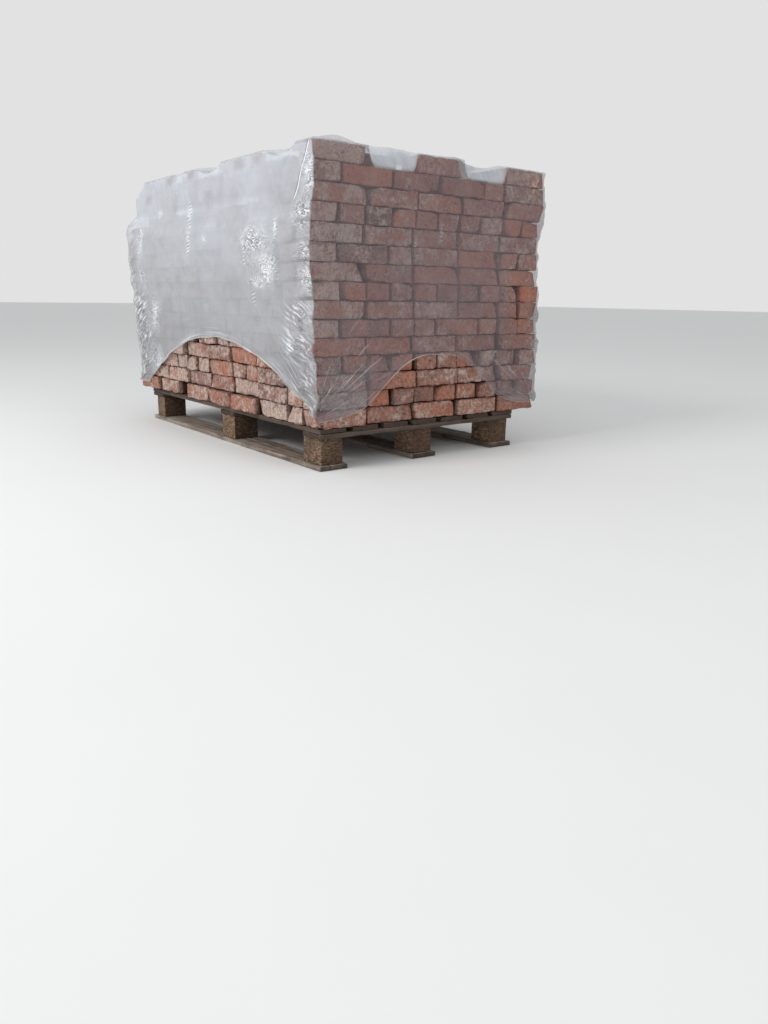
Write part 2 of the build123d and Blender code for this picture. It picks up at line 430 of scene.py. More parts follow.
def film_material():
    """Thin milky film: clear where it lies on a brick, whiter over hollows and at the hem, with painted
    highlights, glints and shade in creases and crinkles, and a painted sky reflection.
    """
    s = Shading("stretch_film")
    where = s.place()
    cloud = s.noise(where, 6.0, 5.0, 0.6)
    crease = s.value("crease")
    streak = s.noise(s.vector("pull"), 1.0, 6.0, 0.62, 0.35)
    crinkle = s.minus(s.noise(s.place((60.0, 60.0, 210.0)), 1.0, 4.0, 0.65, 1.2), 0.5)
    # Painted glints: bright and dark swirls on the crinkles, in patches
    painted_glints = s.value("painted_glints")
    glint = s.times(painted_glints, s.window(s.noise(where, 30.0, 3.0, 0.5), 0.34, 0.52))
    swirls = s.times(s.noise(s.place((15.0, 15.0, 36.0)), 1.0, 2.5, 0.5), 70.0)
    swirls = s.plus(s.math("SINE", swirls), crinkle)
    # Painted sheen: broad soft highlights within the glint patches
    painted_sheen = s.times(s.window(s.noise(where, 17.0, 4.0, 0.6), 0.38, 0.60), painted_glints)
    painted_sheen = s.times(painted_sheen, s.window(swirls, -0.75, 0.10, 0.35, 1.0))
    hem = s.value("hem")
    hem_glow = s.value("hem_glow")
    # Fine painted highlight lines beside the hem
    hem_highlight_lines = s.window(s.noise(s.vector("hem_place"), 1.0, 3.0, 0.5, 0.2), 0.53, 0.64)
    hem_highlight_lines = s.times(hem_highlight_lines, s.value("hem_zone"))
    # Slanting folds, drawn only as painted highlight and shade lines
    slash = s.value("slash")
    slashes = s.noise(s.vector("slash_place"), 1.0, 3.0, 0.55, 0.5)
    fold = s.value("fold")
    fold_share = s.value("fold_share")
    # A straight fold, drawn only as a painted highlight line beside a painted shade line
    fold_highlight = s.window(s.math("ABSOLUTE", s.minus(fold, 0.0025)), 0.0030, 0.0010)
    fold_shade = s.window(s.math("ABSOLUTE", s.plus(fold, 0.0020)), 0.0026, 0.0008)
    # Rows of dashes, painted as highlights and shade
    ladder = s.value("ladder")
    dashes = s.plus(s.math("SINE", s.value("ladder_phase")), s.times(crinkle, 2.5))
    # Painted shade lines where the course joints show through
    joints = s.math("COSINE", s.plus(s.value("joint_phase"), crinkle))
    joint_shade_line = s.times(s.window(joints, 0.62, 0.93), s.value("joint_shade_share"))
    # Painted highlights: white glints and sheen on creases, swirls, folds, slashes, hem lines and dashes
    painted_highlight = s.most(
        s.times(s.window(streak, 0.55, 0.63), crease),
        s.times(s.window(swirls, 0.30, 0.80), glint),
        s.times(fold_highlight, fold_share),
        s.times(s.window(slashes, 0.54, 0.61), slash),
        s.times(painted_sheen, 0.85),
        s.times(hem_highlight_lines, hem_glow),
        s.times(s.window(dashes, 0.35, 0.75), ladder),
    )
    # Painted shade: grey lines beside the painted highlights on creases, swirls, folds, slashes and
    # dashes
    painted_shade = s.most(
        s.times(s.window(streak, 0.46, 0.37), crease),
        s.times(s.window(swirls, -0.40, -0.90), glint),
        s.times(fold_shade, fold_share),
        s.times(s.window(slashes, 0.47, 0.38), slash, 0.95),
        s.times(s.window(dashes, -0.35, -0.75), ladder),
    )
    veil = s.plus(
        s.value("veil"),
        s.times(s.minus(cloud, 0.5), 0.30),
        s.times(painted_highlight, 0.42),
        s.times(painted_shade, 0.12),
        s.times(hem_highlight_lines, 0.22),
        s.times(hem, hem_glow),
    )
    alpha = s.math("MINIMUM", s.most(veil, 0.05), 0.97)
    shade = s.mix(s.value("shaded_side"), tint(156, 160, 163), tint(140, 126, 132))
    # Painted sky reflection: whiter, bluer colour, more toward the top
    white = s.mix(s.value("painted_sky_reflection"), shade, tint(216, 221, 229))
    blotches = s.window(s.noise(where, 11.0, 5.0, 0.6, 0.5), 0.40, 0.66, 0.0, 0.30)
    white = s.mix(blotches, white, tint(168, 168, 172))
    # Painted shade: grey where it is strong
    white = s.stain(white, painted_shade, 0.85, tint(104, 104, 106))
    # Painted highlights: near-white where they are strong
    white = s.mix(painted_highlight, white, tint(246, 247, 250))
    white = s.stain(white, joint_shade_line, 0.8, tint(108, 103, 103))
    white = s.mix(hem, white, tint(206, 198, 188))
    relief = s.times(streak, s.window(crease, 0.0, 1.0, 0.10, 1.0))
    normal = s.bump(s.times(swirls, glint), 0.0012, 0.8, s.bump(relief, 0.008, 0.9))
    rough = s.window(cloud, 0.35, 0.65, 0.20, 0.34)
    return s.finish(white, rough, {"Normal": normal, "Alpha": alpha, "IOR": 1.5})


# Bricks, read from the frame

def solids_of(node):
    """Corner points of each loose solid in a CAD node."""
    mesh = nodes[node].data
    places = [tuple(round(value * 1e5) for value in vertex.co) for vertex in mesh.vertices]
    joined = {place: {place} for place in places}
    for polygon in mesh.polygons:
        group = set().union(*(joined[places[vertex]] for vertex in polygon.vertices))
        joined.update(dict.fromkeys(group, group))
    solids = {}
    for place in dict.fromkeys(places):
        solids.setdefault(id(joined[place]), []).append(place)
    return [np.array(solid) * 1e-5 for solid in solids.values()]


def brick_pose(corners):
    """Middle, size and turn of a brick from its eight corners."""
    low = corners[corners[:, 2] < corners[:, 2].mean()]
    steps = low[1:, :2] - low[0, :2]
    lengths = np.linalg.norm(steps, axis=1)
    order = np.argsort(lengths)
    width = lengths[order[0]]
    length = lengths[order[1]]
    along = steps[order[1]] / length
    size = np.array([length, width, np.ptp(corners[:, 2])])
    return corners.mean(axis=0), size, math.atan2(along[1], along[0])


def lattice_lines(steps, half, edge):
    """Places of the lattice lines along one axis, closer together at the two ends."""
    ends = [half, half - 0.35 * edge, half - edge]
    inner = np.linspace(-(half - edge), half - edge, steps - 3)
    return np.array([-value for value in ends[:2]] + list(inner) + ends[1::-1])


def lattice_points(lattice, steps, half, edge):
    """Places of a box lattice's points, closer together at the box's edges."""
    axes = [lattice_lines(count, side, edge) for count, side in zip(steps, half)]
    return columns(*(line[lattice[:, axis]] for axis, line in enumerate(axes)))


def rounded(points, half, radius):
    """Rounds the edges of a box by a radius for each point, and gives the direction outward there."""
    inner = np.clip(points, -(half - radius), half - radius)
    outward = points - inner
    outward /= np.maximum(np.linalg.norm(outward, axis=1, keepdims=True), 1e-9)
    return inner + outward * radius, outward


brick_points, brick_quads = box_surface(brick_steps)


def worn_brick(size, seed):
    """Points of one reclaimed brick about its own middle: edges worn round, corners knocked off."""
    rng = np.random.default_rng(seed)
    half = size / 2
    narrowest, widest = brick_edge_radius
    points = lattice_points(brick_points, brick_steps, half, widest)
    from_edge = np.sort(half - np.abs(points), axis=1)[:, 1]
    wear = 0.5 + 0.5 * np.clip(wavy(points, seed, 0.06), -1, 1)
    radius = narrowest + (widest - narrowest) * wear * rng.uniform(0.35, 1.0)
    points, outward = rounded(points, half, radius[:, None])
    for _ in range(rng.integers(*brick_chip_counts)):
        corner = half * rng.choice([-1, 1], 3)
        direction = np.sign(corner) * rng.uniform(0.25, 1.0, 3)
        direction /= np.linalg.norm(direction)
        limit = corner @ direction - rng.uniform(*brick_chip_depth)
        over = points @ direction - limit
        rough = 1 + 0.25 * wavy(points, seed + 5, 0.02)
        points -= direction * (np.maximum(over, 0) * rough)[:, None]
    dents = brick_unevenness * (wavy(points, seed + 1, 0.05) + 0.7 * wavy(points, seed + 2, 0.018) - 1.3)
    points = points + outward * dents[:, None]
    shrink = 1 - rng.uniform(0, brick_shrink, 2) / size[:2]
    points[:, :2] *= shrink
    return np.clip(points, -half, half), from_edge


def seated(points, low, high, sides):
    """Moves a shrunken brick against the sides of its place that face out."""
    for axis, side in sides:
        reach = (high[axis] - points[:, axis].max()) if side > 0 else (low[axis] - points[:, axis].min())
        points[:, axis] += reach
    return points


def set_back(points, sides, depth):
    """Wears the outer face of a brick back, its inner end left where it is."""
    for axis, side in sides:
        inner_end = points[:, axis].min() if side > 0 else points[:, axis].max()
        length = np.ptp(points[:, axis])
        points[:, axis] = inner_end + (points[:, axis] - inner_end) * (1 - depth / length)
    return points


def open_sides(low, high):
    """The sides of the stack that a brick stands at, as (axis, side)."""
    sides = []
    for axis in (0, 1):
        if stack_high[axis] - high[axis] < open_side_depth:
            sides.append((axis, 1))
        if low[axis] - stack_low[axis] < open_side_depth:
            sides.append((axis, -1))
    return sides


def depth_inside(points, sides):
    """How far each point lies behind the brick's own outer faces, from 0 to 1."""
    depth = np.full(len(points), 1.0)
    for axis, side in sides:
        place = points[:, axis]
        behind = place.max() - place if side > 0 else place - place.min()
        depth = np.minimum(depth, behind)
    return np.clip((depth - inner_shade_start) / inner_shade_run, 0, 1)


def turned(points, turn):
    cos_turn, sin_turn = math.cos(turn), math.sin(turn)
    turn_matrix = np.array([[cos_turn, sin_turn, 0], [-sin_turn, cos_turn, 0], [0, 0, 1]])
    return points @ turn_matrix


course_nodes = sorted(name for name in nodes if name.startswith("brick_course_"))
brick_boxes = []
clay = brick_material()
ends = [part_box(name) for name in course_nodes]
stack_low = np.min([low for low, high in ends], axis=0)
stack_high = np.max([high for low, high in ends], axis=0)


def build_course(node, course):
    rng = np.random.default_rng(400 + course)
    bare = course <= bare_courses
    loose = course > len(course_nodes) - 2
    # How strong the painted shade in the recesses is on courses that are not bare
    inner_shade_share = loose_inner_shade if loose else covered_inner_shade
    points = []
    quads = []
    values = {}
    for number, corners in enumerate(solids_of(node)):
        middle, size, turn = brick_pose(corners)
        low, high = corners.min(axis=0), corners.max(axis=0)
        brick_boxes.append((low, high))
        sides = open_sides(low, high)
        shape, from_edge = worn_brick(size, 1000 * course + number)
        shape = seated(turned(shape, turn) + middle, low, high, sides)
        if bare and len(sides) == 1:
            shape = set_back(shape, sides, rng.choice(bare_set_back))
        quads.append(brick_quads + len(brick_points) * number)
        points.append(shape)
        every = np.ones(len(shape))
        # More lime on the front face: real lime, and also painted light on that lit side
        lime_and_light_offset = lime_and_light_on_front if (1, -1) in sides else lime_elsewhere
        brick_values = {
            "brick_tone": every * np.clip(rng.normal(*brick_tones), 0, 1),
            "brick_lime_and_light": every * (rng.uniform(-lime_scatter, lime_scatter) + lime_and_light_offset),
            "brick_dark": every * (rng.uniform(0, 0.35) + 0.35 * (rng.random() < burnt_chance)),
            # Painted shade near the brick's edges, stronger on the bare courses
            "brick_edge_shade": near(from_edge, edge_shade_reach) * (1.0 if bare else 0.5),
            # Painted shade behind the brick's outer faces, in the recesses between bricks
            "brick_inner_shade": depth_inside(shape, sides) * (1.0 if bare else inner_shade_share),
            "brick_shift": every[:, None] * rng.uniform(-40, 40, 3),
        }
        for label, value in brick_values.items():
            values.setdefault(label, []).append(value)
    attributes = {label: np.concatenate(parts) for label, parts in values.items()}
    name = f"bricks_{course:02d}"
    piece = make_piece(name, np.concatenate(points), np.concatenate(quads), clay, attributes)
    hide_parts(node)
    return piece


for course_number, course_node in enumerate(course_nodes, start=1):
    build_course(course_node, course_number)

nodes["brick_core"].data.materials.clear()
nodes["brick_core"].data.materials.append(clay)


# Pallet

def rough_board(name, node, along, seed, material, cut=0.0):
    """A sawn board or block with worn edges, in the place of its CAD node."""
    low, high = (np.array(corner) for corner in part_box(node))
    size = high - low
    steps = [max(int(round(side / board_pitch)), 4) for side in size]
    lattice, quads = box_surface(steps)
    half = size / 2
    points = lattice_points(lattice, steps, half, board_edge_radius)
    radius = board_edge_radius * (0.55 + 0.45 * np.clip(wavy(points, seed, 0.12), -1, 1))
    points, outward = rounded(points, half, radius[:, None])
    if cut:
        depth = np.abs(points[:, 0]) + np.abs(points[:, 1]) - (half[0] + half[1] - cut)
        outer = points[:, 0] * math.copysign(1, low[0] + high[0]) > 0
        move = np.where(outer, np.maximum(depth, 0) / 2, 0)
        points[:, 0] -= np.sign(points[:, 0]) * move
        points[:, 1] -= np.sign(points[:, 1]) * move
    points += outward * (board_unevenness * (wavy(points, seed + 1, 0.06) - 1.2))[:, None]
    points = np.clip(points, -half, half)
    rng = np.random.default_rng(seed)
    axis_order = {"x": (0, 1, 2), "y": (1, 0, 2)}[along]
    grain = points[:, axis_order] + rng.uniform(-20, 20, 3)
    # The end faces get darker end grain and painted shade
    values = {"grain": grain, "end_grain_and_shade": np.abs(outward[:, axis_order[0]])}
    # Painted shade all over the deck boards and stringers, none on the skids
    values["board_under_stack_shade"] = np.full(len(points), 0.0 if node.startswith("skid") else under_stack_shade_share)
    piece = make_piece(name, points + (low + high) / 2, quads, material, values)
    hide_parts(node)
    return piece


board_timber = board_material()
block_timber = block_material()

for number, node in enumerate(sorted(nodes)):
    if node.startswith(("skid_", "deck_board_", "stringer_")):
        along = "y" if node.startswith("stringer_") else "x"
        rough_board("timber_" + node, node, along, 7000 + number, board_timber)
    elif node.startswith("block_"):
        corner_cut = 0.0 if node.endswith("centre") else block_corner_cut
        rough_board("timber_" + node, node, "x", 7000 + number, block_timber, corner_cut)


# Film

film_low, film_high = (np.array(corner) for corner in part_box("stretch_film"))
film_size = film_high - film_low
film_steps = tuple(int(round(side / film_pitch)) for side in film_size)
brick_low = np.array([low for low, high in brick_boxes])
brick_high = np.array([high for low, high in brick_boxes])
loose_top = brick_high[:, 2].max() + film_clearance
loose_end = brick_low[brick_high[:, 2] > loose_top - 0.01, 0].min()


def arch_curve():
    """Height of the film's lower edge along the four sides, read from the CAD film."""
    corners = np.array([vertex.co for vertex in nodes["stretch_film"].data.vertices])
    bottom = film_low[2]
    below = corners[corners[:, 2] < bottom + 0.5 * film_size[2]]
    front = below[below[:, 1] < film_low[1] + 0.002]
    right = below[below[:, 0] > film_high[0] - 0.002]
    front = front[np.argsort(front[:, 0])]
    right = right[np.argsort(right[:, 1])]
    return (front[:, 0], front[:, 2]), (right[:, 1], right[:, 2])


long_edge, short_edge = arch_curve()


def lower_edge(across, curve, seed):
    """Height of the lower edge at the given places, with the small waves of a torn edge."""
    waves = 0.0012 * wavy(across[:, None], seed, 0.16) + 0.0004 * wavy(across[:, None], seed + 1, 0.04)
    height = np.interp(across, *curve)
    return height + waves * np.clip((height - film_low[2]) / 0.03 + 0.3, 0, 1)


def obstacle(grid_a, grid_b, axis_a, axis_b, outward, reach):
    """How far out the bricks stand behind each point of a wall or the top."""
    depth = np.full(grid_a.shape, -1e3)
    reach_low = np.where(brick_low - film_low < open_side_depth, film_low, brick_low)
    reach_high = np.where(film_high - brick_high < open_side_depth, film_high, brick_high)
    reach_low[:, 2] = brick_low[:, 2]
    reach_high[:, 2] = brick_high[:, 2]
    for low, high, out in zip(reach_low - brick_margin, reach_high + brick_margin, outward):
        if out < reach:
            continue
        inside = (grid_a > low[axis_a]) & (grid_a < high[axis_a])
        inside &= (grid_b > low[axis_b]) & (grid_b < high[axis_b])
        depth[inside] = np.maximum(depth[inside], out)
    return depth


def neighbours(field):
    """The four fields one step beside a field, its border repeated."""
    padded = np.pad(field, 1, mode="edge")
    return padded[:-2, 1:-1], padded[2:, 1:-1], padded[1:-1, :-2], padded[1:-1, 2:]


def relax(floor, sink, rim=None):
    """Pulls a stretched sheet tight over what stands behind it. A rim holds its four edges."""
    sheet = floor + relax_start
    for _ in range(relax_steps):
        sheet = np.maximum(sum(neighbours(sheet)) / 4 - sink, floor)
        if rim is not None:
            sheet = np.where(np.isnan(rim), sheet, rim)
    return sheet


def relax_line(floor, sink):
    """The same along one edge, where the walls pull the film down hard."""
    line = floor + relax_start
    for _ in range(relax_steps):
        padded = np.pad(line, 1, mode="edge")
        line = np.maximum((padded[:-2] + padded[2:]) / 2 - sink, floor)
    return line


def spread(field, steps):
    """The highest value near each point."""
    for _ in range(steps):
        field = np.maximum.reduce([field, *neighbours(field)])
    return field


def blurred(field, steps):
    for _ in range(steps):
        field = (field + sum(neighbours(field))) / 5
    return field


x_lines = np.linspace(film_low[0], film_high[0], film_steps[0] + 1)
y_lines = np.linspace(film_low[1], film_high[1], film_steps[1] + 1)


def top_field():
    """Height of the film over the top of the stack."""
    grid_x, grid_y = np.meshgrid(x_lines, y_lines, indexing="ij")
    highest = brick_high[:, 2].max()
    floor = obstacle(grid_x, grid_y, 0, 1, brick_high[:, 2], highest - top_reach)
    floor = np.maximum(floor, highest - top_depth)
    floor = floor + film_clearance
    rim = np.full(floor.shape, np.nan)
    rim[:, 0] = relax_line(floor[:, :edge_rows].max(axis=1), edge_sink)
    rim[:, -1] = relax_line(floor[:, -edge_rows:].max(axis=1), edge_sink)
    rim[0, :] = relax_line(floor[:edge_rows, :].max(axis=0), edge_sink)
    rim[-1, :] = relax_line(floor[-edge_rows:, :].max(axis=0), near_edge_sink)
    corners = ([0, 0, -1, -1], [0, -1, 0, -1])
    rim[corners] = np.maximum(rim[corners], floor[corners])
    sheet = relax(floor, 0.0, rim)
    sag = puff_sag * np.maximum(loose_top - sheet, 0)
    return np.maximum(sheet, puffed(grid_x, grid_y, rim) - sag), floor


def puffed(grid_x, grid_y, rim):
    """The film blown up over the loose bricks, highest behind the near side toward the front."""
    from_right = film_high[0] - grid_x
    from_front = grid_y - film_low[1]
    from_back = film_high[1] - grid_y
    from_sides = np.minimum(from_front, from_back)
    inward = np.minimum(from_right / puff_reach, from_sides / (2 * puff_reach))
    rise = np.sin(np.clip(inward, 0, 1) * math.pi / 2)
    near_end = np.clip(1 - from_right / film_size[0], 0, 1)
    front_share = np.clip(1 - from_front / film_size[1], 0, 1)
    height = puff_far + (puff_near - puff_far) * front_share * near_end
    off_right = (from_right - hump_place[0]) / hump_size[0]
    off_front = (from_front - hump_place[1]) / hump_size[1]
    hump = near(np.hypot(off_front, off_right), 1.6)
    height = height * (0.45 + 0.55 * hump)
    folds = wavy(columns(grid_x.ravel(), grid_y.ravel()), 91, fold_length).reshape(grid_x.shape)
    height = height * (1 + 0.30 * folds)
    past = np.clip((loose_end - grid_x) / (loose_end - film_low[0]), 0, 1)
    level = loose_top + height * rise - past * film_end_drop
    for border, distance, climb in (
        (rim[-1:, :], from_right, puff_near_climb),
        (rim[:, :1], from_front, puff_side_climb),
        (rim[:, -1:], from_back, puff_side_climb),
    ):
        level = np.minimum(level, border + climb * distance + puff_start)
    on_border = np.minimum(from_right, from_sides) < 1e-6
    return np.where(on_border, np.minimum(level, rim), level)


film_top, top_floor = top_field()


def wall_rows(edge_height, top_height):
    """Heights of a wall's points: a few close rows at the hem, then even ones up to the top."""
    count = film_steps[2] + 1
    hem = np.array(hem_rows)
    even = np.linspace(0, 1, count - len(hem) + 1)[1:]
    rows = np.empty((len(edge_height), count))
    rows[:, : len(hem)] = edge_height[:, None] + hem
    start = edge_height + hem[-1]
    rows[:, len(hem):] = start[:, None] + (top_height - start)[:, None] * even
    return rows


def wall_limit(axis, side):
    return film_high[axis] if side > 0 else -film_low[axis]


def wall_field(axis, side, seed):
    """Heights and outward places of one wall, with the bricks behind it."""
    across, curve = (x_lines, long_edge) if axis == 1 else (y_lines, short_edge)
    top_height = np.take(film_top, 0 if side < 0 else -1, axis=axis)
    rows = wall_rows(lower_edge(across, curve, seed), top_height)
    outward = brick_high[:, axis] if side > 0 else -brick_low[:, axis]
    limit = wall_limit(axis, side)
    grid = np.repeat(across[:, None], rows.shape[1], axis=1)
    floor = obstacle(grid, rows, 1 - axis, 2, outward, limit - wall_reach)
    floor = np.maximum(floor, limit - wall_depth) + film_clearance
    from_corner = np.minimum(across - across[0], across[-1] - across)
    sink = wall_sink + corner_sink * near(from_corner, corner_reach)[:, None]
    return rows, relax(floor, sink), floor


# Axis, side and seed of each wall
walls = {"front": (1, -1, 31), "back": (1, 1, 37), "left": (0, -1, 41), "right": (0, 1, 43)}
wall_fields = {name: wall_field(*wall) for name, wall in walls.items()}


def wall_points(lattice):
    """For each wall: name, axis, side, which points lie on it, and each point's column along it."""
    for name, (axis, side, _) in walls.items():
        border = 0 if side < 0 else film_steps[axis]
        yield name, axis, side, lattice[:, axis] == border, lattice[:, 1 - axis]


def film_points(lattice):
    """Places of the film's points, with the gap behind each one."""
    i, j, k = lattice.T
    start = columns(x_lines[i], y_lines[j], film_top[i, j])
    points = start.copy()
    gap = open_gap * blurred((top_floor < loose_top - 0.02).astype(float), 3)[i, j]
    for name, axis, side, on_wall, column in wall_points(lattice):
        rows, sheet, floor = wall_fields[name]
        limit = wall_limit(axis, side)
        beside = np.clip(1 - (limit - side * start[:, axis]) / corner_blend, 0, 1)
        points[:, axis] += side * (sheet[column, k] - limit) * beside
        picked = on_wall & (k < film_steps[2])
        points[picked, 2] = rows[column[picked], k[picked]]
        gap[picked] = (sheet - spread(floor, 2))[column[picked], k[picked]]
    return points, gap


def outside_bricks(points, lattice):
    """Puts back what smoothing pulled into a brick."""
    i, j, k = lattice.T
    points = points.copy()
    for name, axis, side, on_wall, column in wall_points(lattice):
        floor = wall_fields[name][2][column[on_wall], k[on_wall]]
        points[on_wall, axis] = side * np.maximum(side * points[on_wall, axis], floor)
    on_top = k == film_steps[2]
    points[on_top, 2] = np.maximum(points[on_top, 2], top_floor[i[on_top], j[on_top]])
    return points


def smooth_points(points, quads, rounds, share):
    """Moves each point part of the way to the middle of its neighbours."""
    pairs = np.concatenate([quads[:, [0, 1]], quads[:, [1, 2]], quads[:, [2, 3]], quads[:, [3, 0]]])
    ends, others = np.concatenate([pairs, pairs[:, ::-1]]).T
    count = np.bincount(ends)[:, None]
    for _ in range(rounds):
        total = np.zeros_like(points)
        np.add.at(total, ends, points[others])
        points = points + share * (total / count - points)
    return points


def point_normals(points, quads):
    across = points[quads[:, 2]] - points[quads[:, 0]]
    along = points[quads[:, 3]] - points[quads[:, 1]]
    face_normals = np.cross(across, along)
    normals = np.zeros_like(points)
    for corner in range(4):
        np.add.at(normals, quads[:, corner], face_normals)
    return normals / np.maximum(np.linalg.norm(normals, axis=1, keepdims=True), 1e-12)


# Patches of painted glints on the walls, in metres: along from the near or front corner, height, half
# width, half height and strength
painted_glint_spots = {
    "front": (
        (0.3, 0.63, 0.15, 0.075, 0.3),
        (0.33, 0.66, 0.09, 0.045, 0.9),
        (0.24, 0.58, 0.06, 0.05, 1.0),
        (0.3, 0.54, 0.05, 0.02, 0.8),
        (0.785, 0.72, 0.018, 0.085, 0.8),
        (0.19, 0.69, 0.016, 0.028, 0.9),
        (0.03, 0.82, 0.04, 0.06, 0.9),
        (0.045, 0.72, 0.06, 0.045, 1.0),
        (0.04, 0.62, 0.055, 0.035, 1.0),
        (0.038, 0.545, 0.052, 0.045, 1.0),
        (0.06, 0.44, 0.075, 0.07, 0.45),
        (0.12, 0.37, 0.08, 0.05, 0.35),
        (0.055, 0.27, 0.06, 0.09, 0.35),
        (1.15, 0.43, 0.06, 0.07, 0.8),
        (1.25, 0.7, 0.04, 0.08, 0.7),
        (1.24, 0.56, 0.035, 0.05, 0.6),
        (0.31, 0.545, 0.06, 0.012, 1.0),
        (1.19, 0.25, 0.08, 0.06, 0.7),
        (1.05, 0.785, 0.022, 0.013, 1.0),
        (0.656, 0.677, 0.022, 0.016, 0.7),
    ),
    "back": (
        (0.25, 0.7, 0.07, 0.05, 0.45),
        (1.05, 0.66, 0.08, 0.05, 0.45),
        (1.3, 0.62, 0.05, 0.05, 0.6),
        (1.29, 0.45, 0.06, 0.07, 0.6),
        (0.06, 0.42, 0.06, 0.08, 0.6),
        (0.05, 0.72, 0.05, 0.05, 0.5),
    ),
    "left": (
        (0.06, 0.62, 0.05, 0.06, 0.6),
        (0.07, 0.42, 0.06, 0.08, 0.5),
        (0.83, 0.55, 0.05, 0.06, 0.6),
        (0.8, 0.36, 0.06, 0.07, 0.5),
    ),
    "right": (
        (0.48, 0.69, 0.012, 0.025, 0.6),
        (0.377, 0.65, 0.006, 0.012, 0.6),
    ),
}
# Slanting folds that end at the corners, painted as highlight and shade lines: along from the nearer
# corner
slash_spots = (
    (0.085, 0.43, 0.085, 0.085, 1.0),
    (0.1, 0.36, 0.085, 0.055, 1.0),
    (0.05, 0.27, 0.05, 0.085, 0.8),
    (0.03, 0.58, 0.03, 0.11, 0.5),
)
slash_slope = math.radians(24)
clear_spots = ((0.855, 0.475, 0.085, 0.145, 1.0), (0.885, 0.86, 0.035, 0.04, 1.0))
haze_spots = (
    (0.5, 0.54, 0.22, 0.16, 0.8),
    (0.1, 0.22, 0.12, 0.07, 1.0),
    (0.2, 0.28, 0.05, 0.03, 0.8),
    (0.86, 0.18, 0.06, 0.06, 0.7),
)
loose_spots = (
    (0.315, 0.888, 0.036, 0.018, 1.0),
    (0.425, 0.888, 0.036, 0.018, 1.0),
    (0.64, 0.815, 0.03, 0.014, 0.6),
    (0.775, 0.89, 0.032, 0.017, 1.0),
    (0.955, 0.89, 0.034, 0.017, 1.0),
    (1.15, 0.84, 0.032, 0.016, 0.6),
)
# Rows of short painted highlight and shade dashes: along, from height, to height, half width, strength
ladders = {
    "front": (
        (0.785, 0.635, 0.69, 0.011, 1.0),
        (0.78, 0.72, 0.8, 0.01, 0.9),
        (0.19, 0.665, 0.715, 0.01, 1.0),
        (0.385, 0.59, 0.69, 0.009, 0.7),
        (0.345, 0.475, 0.515, 0.012, 0.5),
    ),
    "back": ((0.62, 0.55, 0.66, 0.01, 0.8),),
    "right": ((0.483, 0.665, 0.715, 0.006, 0.5), (0.377, 0.64, 0.665, 0.004, 0.5)),
}
fold_start = (0.03, 0.905)
fold_end = (0.1, 0.775)


def spots_share(along, height, spots, squareness=2.0):
    """The strongest of a few soft patches at each point, oval or more square."""
    total = np.zeros(len(along))
    for spot_along, spot_height, half_width, half_height, strength in spots:
        off_along = np.abs(along - spot_along) / half_width
        off_height = np.abs(height - spot_height) / half_height
        reach = (off_along**squareness + off_height**squareness) ** (1 / squareness)
        total = np.maximum(total, strength * near(reach, 1.5))
    return total


def fold_values(along, height):
    """Signed distance from the straight fold, and 1 beside it falling to 0 past its ends."""
    start = np.array(fold_start)
    direction = np.array(fold_end) - start
    length = np.linalg.norm(direction)
    direction /= length
    run = (along - start[0]) * direction[0] + (height - start[1]) * direction[1]
    off = (along - start[0]) * direction[1] - (height - start[1]) * direction[0]
    past = np.maximum(np.maximum(-run, run - length), 0)
    return off, near(past, 0.03)


class FilmPlaces:
    """Where each point of the film lies: on which wall, how far along it and how high."""

    def __init__(self, points, lattice):
        self.x, self.y, self.z = points.T
        self.top = lattice[:, 2] == film_steps[2]
        self.on = {name: on_wall for name, _, _, on_wall, _ in wall_points(lattice)}
        self.face = {name: on_wall & ~self.top for name, on_wall in self.on.items()}
        self.long_wall = self.on["front"] | self.on["back"]
        self.along = np.where(self.long_wall, film_high[0] - self.x, self.y - film_low[1])
        self.width = np.where(self.long_wall, film_size[0], film_size[1])
        self.from_end = np.minimum(self.along, self.width - self.along)
        self.height = self.z - film_low[2]
        self.level = columns(self.z, self.along * 0.35)
        self.hem = np.where(self.top, 0.0, np.clip(1 - lattice[:, 2] / 2.2, 0, 1))

    def spots(self, spots, squareness=2.0):
        return spots_share(self.along, self.z, spots, squareness)


def crease_values(at):
    """Wrinkles fan out from the feet of the arches and run up beside the corners."""
    radius = np.hypot(at.from_end, at.height) + 1e-6
    angle = np.arctan2(at.height, at.from_end)
    fan = near(radius, fan_reach) * near(np.abs(angle - fan_angle), fan_spread)
    band = near(at.from_end, band_reach) * np.where(at.on["right"], 0.0, band_strength)
    crease = np.maximum(fan, band)
    far_end = at.on["front"] & (at.along > 0.75 * at.width)
    near_end = at.on["right"] & (at.along < 0.4 * at.width)
    crease = np.clip(crease * np.where(far_end, 1.25, np.where(near_end, 1.5, 1.0)), 0, 1)
    fan_place = columns(angle * 26, radius * 5, 3.0)
    band_place = columns(at.height * 52 - at.from_end * 26, at.from_end * 9, 9.0)
    top_place = columns(at.x * 16, at.y * 60, 0.0)
    share = np.clip(fan / (fan + band + 1e-6), 0, 1)[:, None]
    pull = np.where(at.top[:, None], top_place, fan_place * share + band_place * (1 - share))
    pull = pull + np.where(at.long_wall, 20.0, 0.0)[:, None]
    return {"crease": np.where(at.top, top_crease, crease), "pull": pull}


def hem_values(at):
    """The hem at the lower edge, with fine painted highlight lines beside it."""
    edge = np.where(at.long_wall, np.interp(at.x, *long_edge), np.interp(at.y, *short_edge))
    away = np.maximum(at.z - edge, 0)
    zone = near(away, hem_reach) * np.clip((edge - film_low[2]) / 0.04 + 0.25, 0, 1)
    return {
        "hem": at.hem,
        "hem_zone": np.where(at.top, 0.0, zone),
        "hem_glow": np.where(at.on["right"], 0.26, 0.36),
        "hem_place": columns(away * 220, at.along * 4, 1.0),
    }


